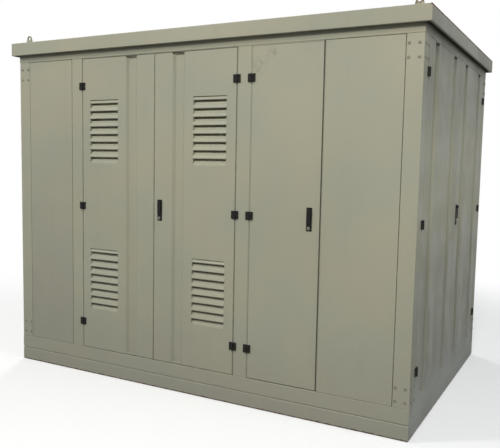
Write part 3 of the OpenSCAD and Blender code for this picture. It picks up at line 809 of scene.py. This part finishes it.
plastic_black = (0.004, 0.004, 0.004, 1)
plastic_worn = (0.010, 0.010, 0.009, 1)

handle_plastic, tree, shader = new_finish("handle_plastic")
shader.inputs["Specular IOR Level"].default_value = 0.2
handled = span(tree, cloud(tree, 45.0, detail=4.0), 0.35, 0.7)
worn = blend_tone(tree, handled, plastic_black, plastic_worn)
tree.links.new(worn, shader.inputs["Base Color"])
tree.links.new(span(tree, handled, 0.0, 1.0, 0.45, 0.65), shader.inputs["Roughness"])
grained(tree, shader, 1400.0, detail=2.0, strength=0.35, depth=0.0002)
cylinder_plating = aged_metal(
    "cylinder_plating", tone=(0.24, 0.235, 0.20, 1), worn_tone=(0.13, 0.128, 0.105, 1),
    metal=1.0, rough_low=0.34, rough_high=0.52, scale=260.0,
)

bezel_radius = 0.0118
bezel_band = 0.0019
cap_radius = 0.0085
cap_rise = 0.0018
rib_length = 0.017
rib_width = 0.0022
rib_rise = 0.0012
rib_pitch = 0.007
rib_count = 4
grip_start = 0.014

lone()
bpy.ops.mesh.primitive_torus_add(
    major_radius=bezel_radius, minor_radius=bezel_band, major_segments=40, minor_segments=12
)
bpy.ops.object.mode_set(mode="EDIT")
bpy.ops.mesh.select_all(action="SELECT")
bpy.ops.mesh.bisect(plane_co=(0, 0, 0), plane_no=(0, 0, 1), clear_inner=True, use_fill=False)
bezel = settle("bezel", handle_plastic, 60)

lone()
bpy.ops.mesh.primitive_cylinder_add(
    vertices=28, radius=cap_radius, depth=cap_rise, location=(0, 0, cap_rise / 2)
)
bpy.ops.object.mode_set(mode="EDIT")
pick("FACE", lambda f: f.normal.z > 0.9)
bpy.ops.mesh.inset(thickness=cap_radius * 0.18, depth=cap_rise * 0.5)
bpy.ops.mesh.inset(thickness=cap_radius * 0.35, depth=0)
bpy.ops.mesh.inset(thickness=cap_radius * 0.05, depth=-cap_rise * 0.4)
cap = settle("cap", handle_plastic)

lone()
bpy.ops.mesh.primitive_cube_add(size=1, location=(0, 0, rib_rise / 2))
bpy.context.object.scale = (rib_length, rib_width, rib_rise)
bpy.ops.object.transform_apply(location=True, rotation=True, scale=True)
bpy.ops.object.mode_set(mode="EDIT")
pick("EDGE", lambda e: all(v.co.z > rib_rise / 2 for v in e.verts))
bpy.ops.mesh.bevel(offset=rib_rise * 0.45, segments=2)
rib = settle("rib", handle_plastic)

for handle, wall, leaf_body, lever_body in (
    ("louvred", "front", "louvred_right_leaf", "louvred_lever"),
    ("plain", "front", "plain_leaf", "plain_lever"),
    ("end", "right", "end_rear_leaf", "end_lever"),
):
    coat(handle_plastic, handle + "_handle_base", handle + "_handle_lever")
    coat(cylinder_plating, handle + "_lock")
    pivot = walls[wall].inverted() @ Vector(joints[handle + "_lever_turn"]["pos_m"])
    lock_low, lock_high = on_wall(handle + "_lock", wall)
    lever_low, lever_high = on_wall(handle + "_handle_lever", wall)
    lock_level = (lock_low.y + lock_high.y) / 2
    seat = Matrix.Translation((pivot.x, lock_level, lock_low.z))
    ring = set_out(bezel, [walls[wall] @ seat], handle + "_lock_bezel")
    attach(ring, leaf_body)
    hub = Matrix.Translation((pivot.x, pivot.y, lever_high.z))
    trims = [set_out(cap, [walls[wall] @ hub], handle + "_cap")]
    grips = []
    for i in range(rib_count):
        level = lever_low.y + grip_start + i * rib_pitch
        grips.append(walls[wall] @ Matrix.Translation((pivot.x, level, lever_high.z)))
    trims.append(set_out(rib, grips, handle + "_ribs"))
    trim = as_one(trims, handle + "_lever_trim")
    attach(trim, lever_body)


# Roof: a lift-off tray of 2 mm sheet with a deep fascia and a field that rises to a low ridge. It
# sits on the top rails. Its inside has only primer, dark enough to be painted shade under the
# eave.
# Rain stains its slopes, it grows darker towards the right end, painted shade lies on that end,
# and rust starts along its folds.

# Primer of the roof's inside, dark enough to be painted shade under the eave as well
primer_and_shade_tone = (0.270, 0.262, 0.205, 1)


def fold_rust(tree):
    """Rust along the fascia's upper fold, most on the right end."""
    where = xyz(tree)
    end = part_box("roof")[1].x
    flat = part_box("lifting_lugs")[0].z
    fold = span(tree, where["Z"], flat - 0.020, flat - 0.006, 0.0, 0.80)
    past = span(tree, where["Z"], flat + 0.001, flat + 0.003, 1.0, 0.0)
    right = span(tree, where["X"], end - 0.018, end - 0.003, 0.35, 1.0)
    return product(tree, fold, past, right)


def primed_and_shaded_inside(tree):
    """The roof's inner faces, a sheet's thickness inside its outer ones; partly painted shade."""
    where = xyz(tree)
    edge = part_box("roof")[1]
    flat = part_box("lifting_lugs")[0].z
    outside, inside = 0.0008, 0.0012
    primed = span(tree, where["Z"], flat - outside, flat - inside)
    for axis, outer in (("X", edge.x), ("Y", edge.y)):
        from_middle = sums(tree, "ABSOLUTE", where[axis], 0.0)
        within = span(tree, from_middle, outer - outside, outer - inside)
        primed = product(tree, primed, within)
    return primed


def right_darkening(tree):
    """Darker towards the right end, in the tone of the end's painted shade."""
    return span(tree, xyz(tree)["X"], -0.2, 1.4, 0.0, 0.24)


# The end's painted shade, darkening towards the right end, and the primer that is partly painted
# shade
roof_marks = ((end_shade, end_shade_tone), (right_darkening, end_shade_tone), (primed_and_shaded_inside, primer_and_shade_tone))
roof_paint = painted(
    "roof_paint", drift=0.03, rain=0.14, dust_reach=0.01, dust=0.0, grime_and_shade=0.40, wave=0.004,
    rust_mask=fold_rust, marks=roof_marks,
)
coat(roof_paint, "roof")


# Lifting lugs: 10 mm plates with a round eye, fillet-welded upright on a foot that four bolts hold
# down through the roof over each corner post. Brushed with paint, which the shackles have chipped
# off the eye.


def shackle_wear(tree):
    """Chipped paint and rust round the eye, less down the plate, most on the right-hand lugs."""
    low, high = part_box("lifting_lugs")
    where = xyz(tree)
    worn = span(tree, where["Z"], low.z + 0.008, high.z, 0.30, 0.58)
    return sums(tree, "ADD", worn, span(tree, where["X"], low.x / 2, high.x / 2, 0.0, 0.22))


lug_paint = painted(
    "lug_paint", drift=0.05, rain=0.35, dust_reach=0.01, dust=0.0, grime_and_shade=0.7, wave=0.001,
    rust_mask=shackle_wear,
)
coat(lug_paint, "lifting_lugs")

lug_low, lug_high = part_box("lifting_lugs")
foot_half = Vector((0.045, 0.035))
foot_rise = 0.010
plate_half = Vector((0.031, 0.005))
weld_radius = 0.0042
weld_pitch = 0.0036
weld_steps = int(2 * plate_half.x / weld_pitch)
lug_bolt_at = Vector((0.029, 0.021))

# Degrees that each lug bolt's head is turned, by its end and by its side of the plate
turn_by_end = 17
turn_by_side = 31

lone()
bpy.ops.mesh.primitive_uv_sphere_add(segments=12, ring_count=8, radius=weld_radius)
bpy.context.object.scale = (0.75, 1.0, 0.85)
bpy.ops.object.transform_apply(location=True, rotation=True, scale=True)
bpy.ops.object.mode_set(mode="EDIT")
bpy.ops.mesh.select_all(action="SELECT")
bpy.ops.mesh.bisect(plane_co=(0, 0, 0), plane_no=(0, 0, 1), clear_inner=True, use_fill=True)
bead = settle("bead", lug_paint, 60)

weld_places = []
bolt_places = []
for centre_x in (lug_low.x + foot_half.x, lug_high.x - foot_half.x):
    for centre_y in (lug_low.y + foot_half.y, lug_high.y - foot_half.y):
        foot_top = Vector((centre_x, centre_y, lug_low.z + foot_rise))
        for side in (-1, 1):
            for i in range(weld_steps + 1):
                offset = Vector((i * weld_pitch - plate_half.x, side * plate_half.y, 0))
                weld_places.append(Matrix.Translation(foot_top + offset))
            for end in (-1, 1):
                offset = Vector((end * lug_bolt_at.x, side * lug_bolt_at.y, 0))
                angle = math.radians(turn_by_end * end + turn_by_side * side)
                turned = Matrix.Rotation(angle, 4, "Z")
                bolt_places.append(Matrix.Translation(foot_top + offset) @ turned)
welds = set_out(bead, weld_places, "lug_welds")
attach(welds, "housing")
lug_bolts = set_out(bolt, bolt_places, "lug_bolts")
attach(lug_bolts, "housing")

for pattern in (bolt, top_plug, foot_plug, screw, bezel, cap, rib, bead):
    bpy.data.objects.remove(pattern)


# Floor and backdrop: a plain pale studio floor that runs out into white, and a white surround. The
# floor keeps the object's soft shadow and goes over to plain white some metres away.

floor_reach = 40.0
floor_drop = 0.0008
floor_white = 1.0
floor_lift = 0.30
floor_pale = (0.72, 0.72, 0.72, 1)
floor_dim = (0.20, 0.20, 0.19, 1)
fade_start = 2.6
fade_end = 5.0
sky_tint = (0.93, 0.97, 1.0, 1)
sky_strength = 0.36

lone()
bpy.ops.mesh.primitive_plane_add(size=2 * floor_reach, location=(0, 0, -floor_drop))
floor = bpy.context.object
floor.name = "studio_floor"
floor_finish, tree, shader = new_finish("studio_floor")
tree.nodes.remove(shader)


def seen_rays(tree):
    """One for the rays that look at the stage, from the camera or by a reflection or glass."""
    path = put(tree, "ShaderNodeLightPath").outputs
    seen = sums(tree, "MAXIMUM", path["Is Camera Ray"], path["Is Glossy Ray"])
    return sums(tree, "MAXIMUM", seen, path["Is Transmission Ray"])


away = put(tree, "ShaderNodeVectorMath", {0: place_on(tree)}, operation="LENGTH")
far = span(tree, away.outputs["Value"], fade_start, fade_end)
pale = put(tree, "ShaderNodeBsdfDiffuse", {"Color": floor_pale}).outputs[0]
dim = put(tree, "ShaderNodeBsdfDiffuse", {"Color": floor_dim}).outputs[0]
lift = put(tree, "ShaderNodeEmission", {"Strength": floor_lift}).outputs[0]
plain_white = put(tree, "ShaderNodeEmission", {"Strength": floor_white}).outputs[0]
near_floor = put(tree, "ShaderNodeAddShader", {0: pale, 1: lift}).outputs[0]
shown = put(tree, "ShaderNodeMixShader", {0: far, 1: near_floor, 2: plain_white}).outputs[0]
whole = put(tree, "ShaderNodeMixShader", {0: seen_rays(tree), 1: dim, 2: shown}).outputs[0]
tree.links.new(whole, tree.nodes["Material Output"].inputs["Surface"])
floor.data.materials.append(floor_finish)

surround = bpy.data.worlds.new("surround")
bpy.context.scene.world = surround
surround.use_nodes = True
tree = surround.node_tree
ambient = tree.nodes["Background"]
ambient.inputs["Color"].default_value = sky_tint
ambient.inputs["Strength"].default_value = sky_strength
white = put(tree, "ShaderNodeBackground", {"Color": (1, 1, 1, 1), "Strength": floor_white})
both = {0: seen_rays(tree), 1: ambient.outputs[0], 2: white.outputs[0]}
mixed = put(tree, "ShaderNodeMixShader", both).outputs[0]
tree.links.new(mixed, tree.nodes["World Output"].inputs["Surface"])


# Studio light: a round key high off the front left corner, which throws the eave's shadow and
# shades the pressed channels, a second lamp in front on the right, a softer one high over the
# right end, and one for the back.


def aim(lamp, place, target):
    """A lamp put in its place and turned to its target."""
    lamp.location = place
    lamp.rotation_mode = "QUATERNION"
    lamp.rotation_quaternion = (Vector(target) - Vector(place)).to_track_quat("-Z", "Y")


for lamp, watts, breadth, tint, place, target in (
    ("key", 238, 1.4, (1.0, 0.98, 0.945), (-4.74, -5.27, 6.50), (0, -1, 1.2)),
    ("wash", 204, 1.2, (1.0, 0.98, 0.95), (2.45, -5.98, 4.80), (0.9, -1, 1.2)),
    ("fill", 119, 3.4, (0.91, 0.965, 1.0), (5.8, -1.6, 6.9), (1.5, 0, 1.2)),
    ("rear", 190, 2.0, (1.0, 0.99, 0.97), (-4.5, 5.5, 5.5), (-0.5, 0.4, 1.2)),
):
    bpy.ops.object.light_add(type="AREA")
    light = bpy.context.object
    light.name = lamp
    light.data.energy = watts
    light.data.shape = "DISK"
    light.data.size = breadth
    light.data.color = tint
    aim(light, place, target)


# Camera: the photo's viewpoint at eye height off the front right corner, looking a little down and
# rolled by a degree. Its place, turns and lens were solved from the edges in the photo.

eye = (2.3648, -4.5176, 1.5415)
turn = math.radians(28.299)
tilt = math.radians(-5.364)
roll = math.radians(1.091)
level_ahead = Vector((-math.sin(turn), math.cos(turn), 0))
ahead = level_ahead * math.cos(tilt) + Vector((0, 0, math.sin(tilt)))
level_right = Vector((math.cos(turn), math.sin(turn), 0))
level_up = level_right.cross(ahead)
right = math.cos(roll) * level_right + math.sin(roll) * level_up
up = math.cos(roll) * level_up - math.sin(roll) * level_right
view = Matrix((right, up, -ahead)).transposed().to_4x4()
bpy.ops.object.camera_add()
camera = bpy.context.object
camera.data.lens = 46.82
camera.data.sensor_width = 36.0
camera.matrix_world = Matrix.Translation(eye) @ view
bpy.context.scene.camera = camera
bpy.context.scene.view_settings.view_transform = "Standard"
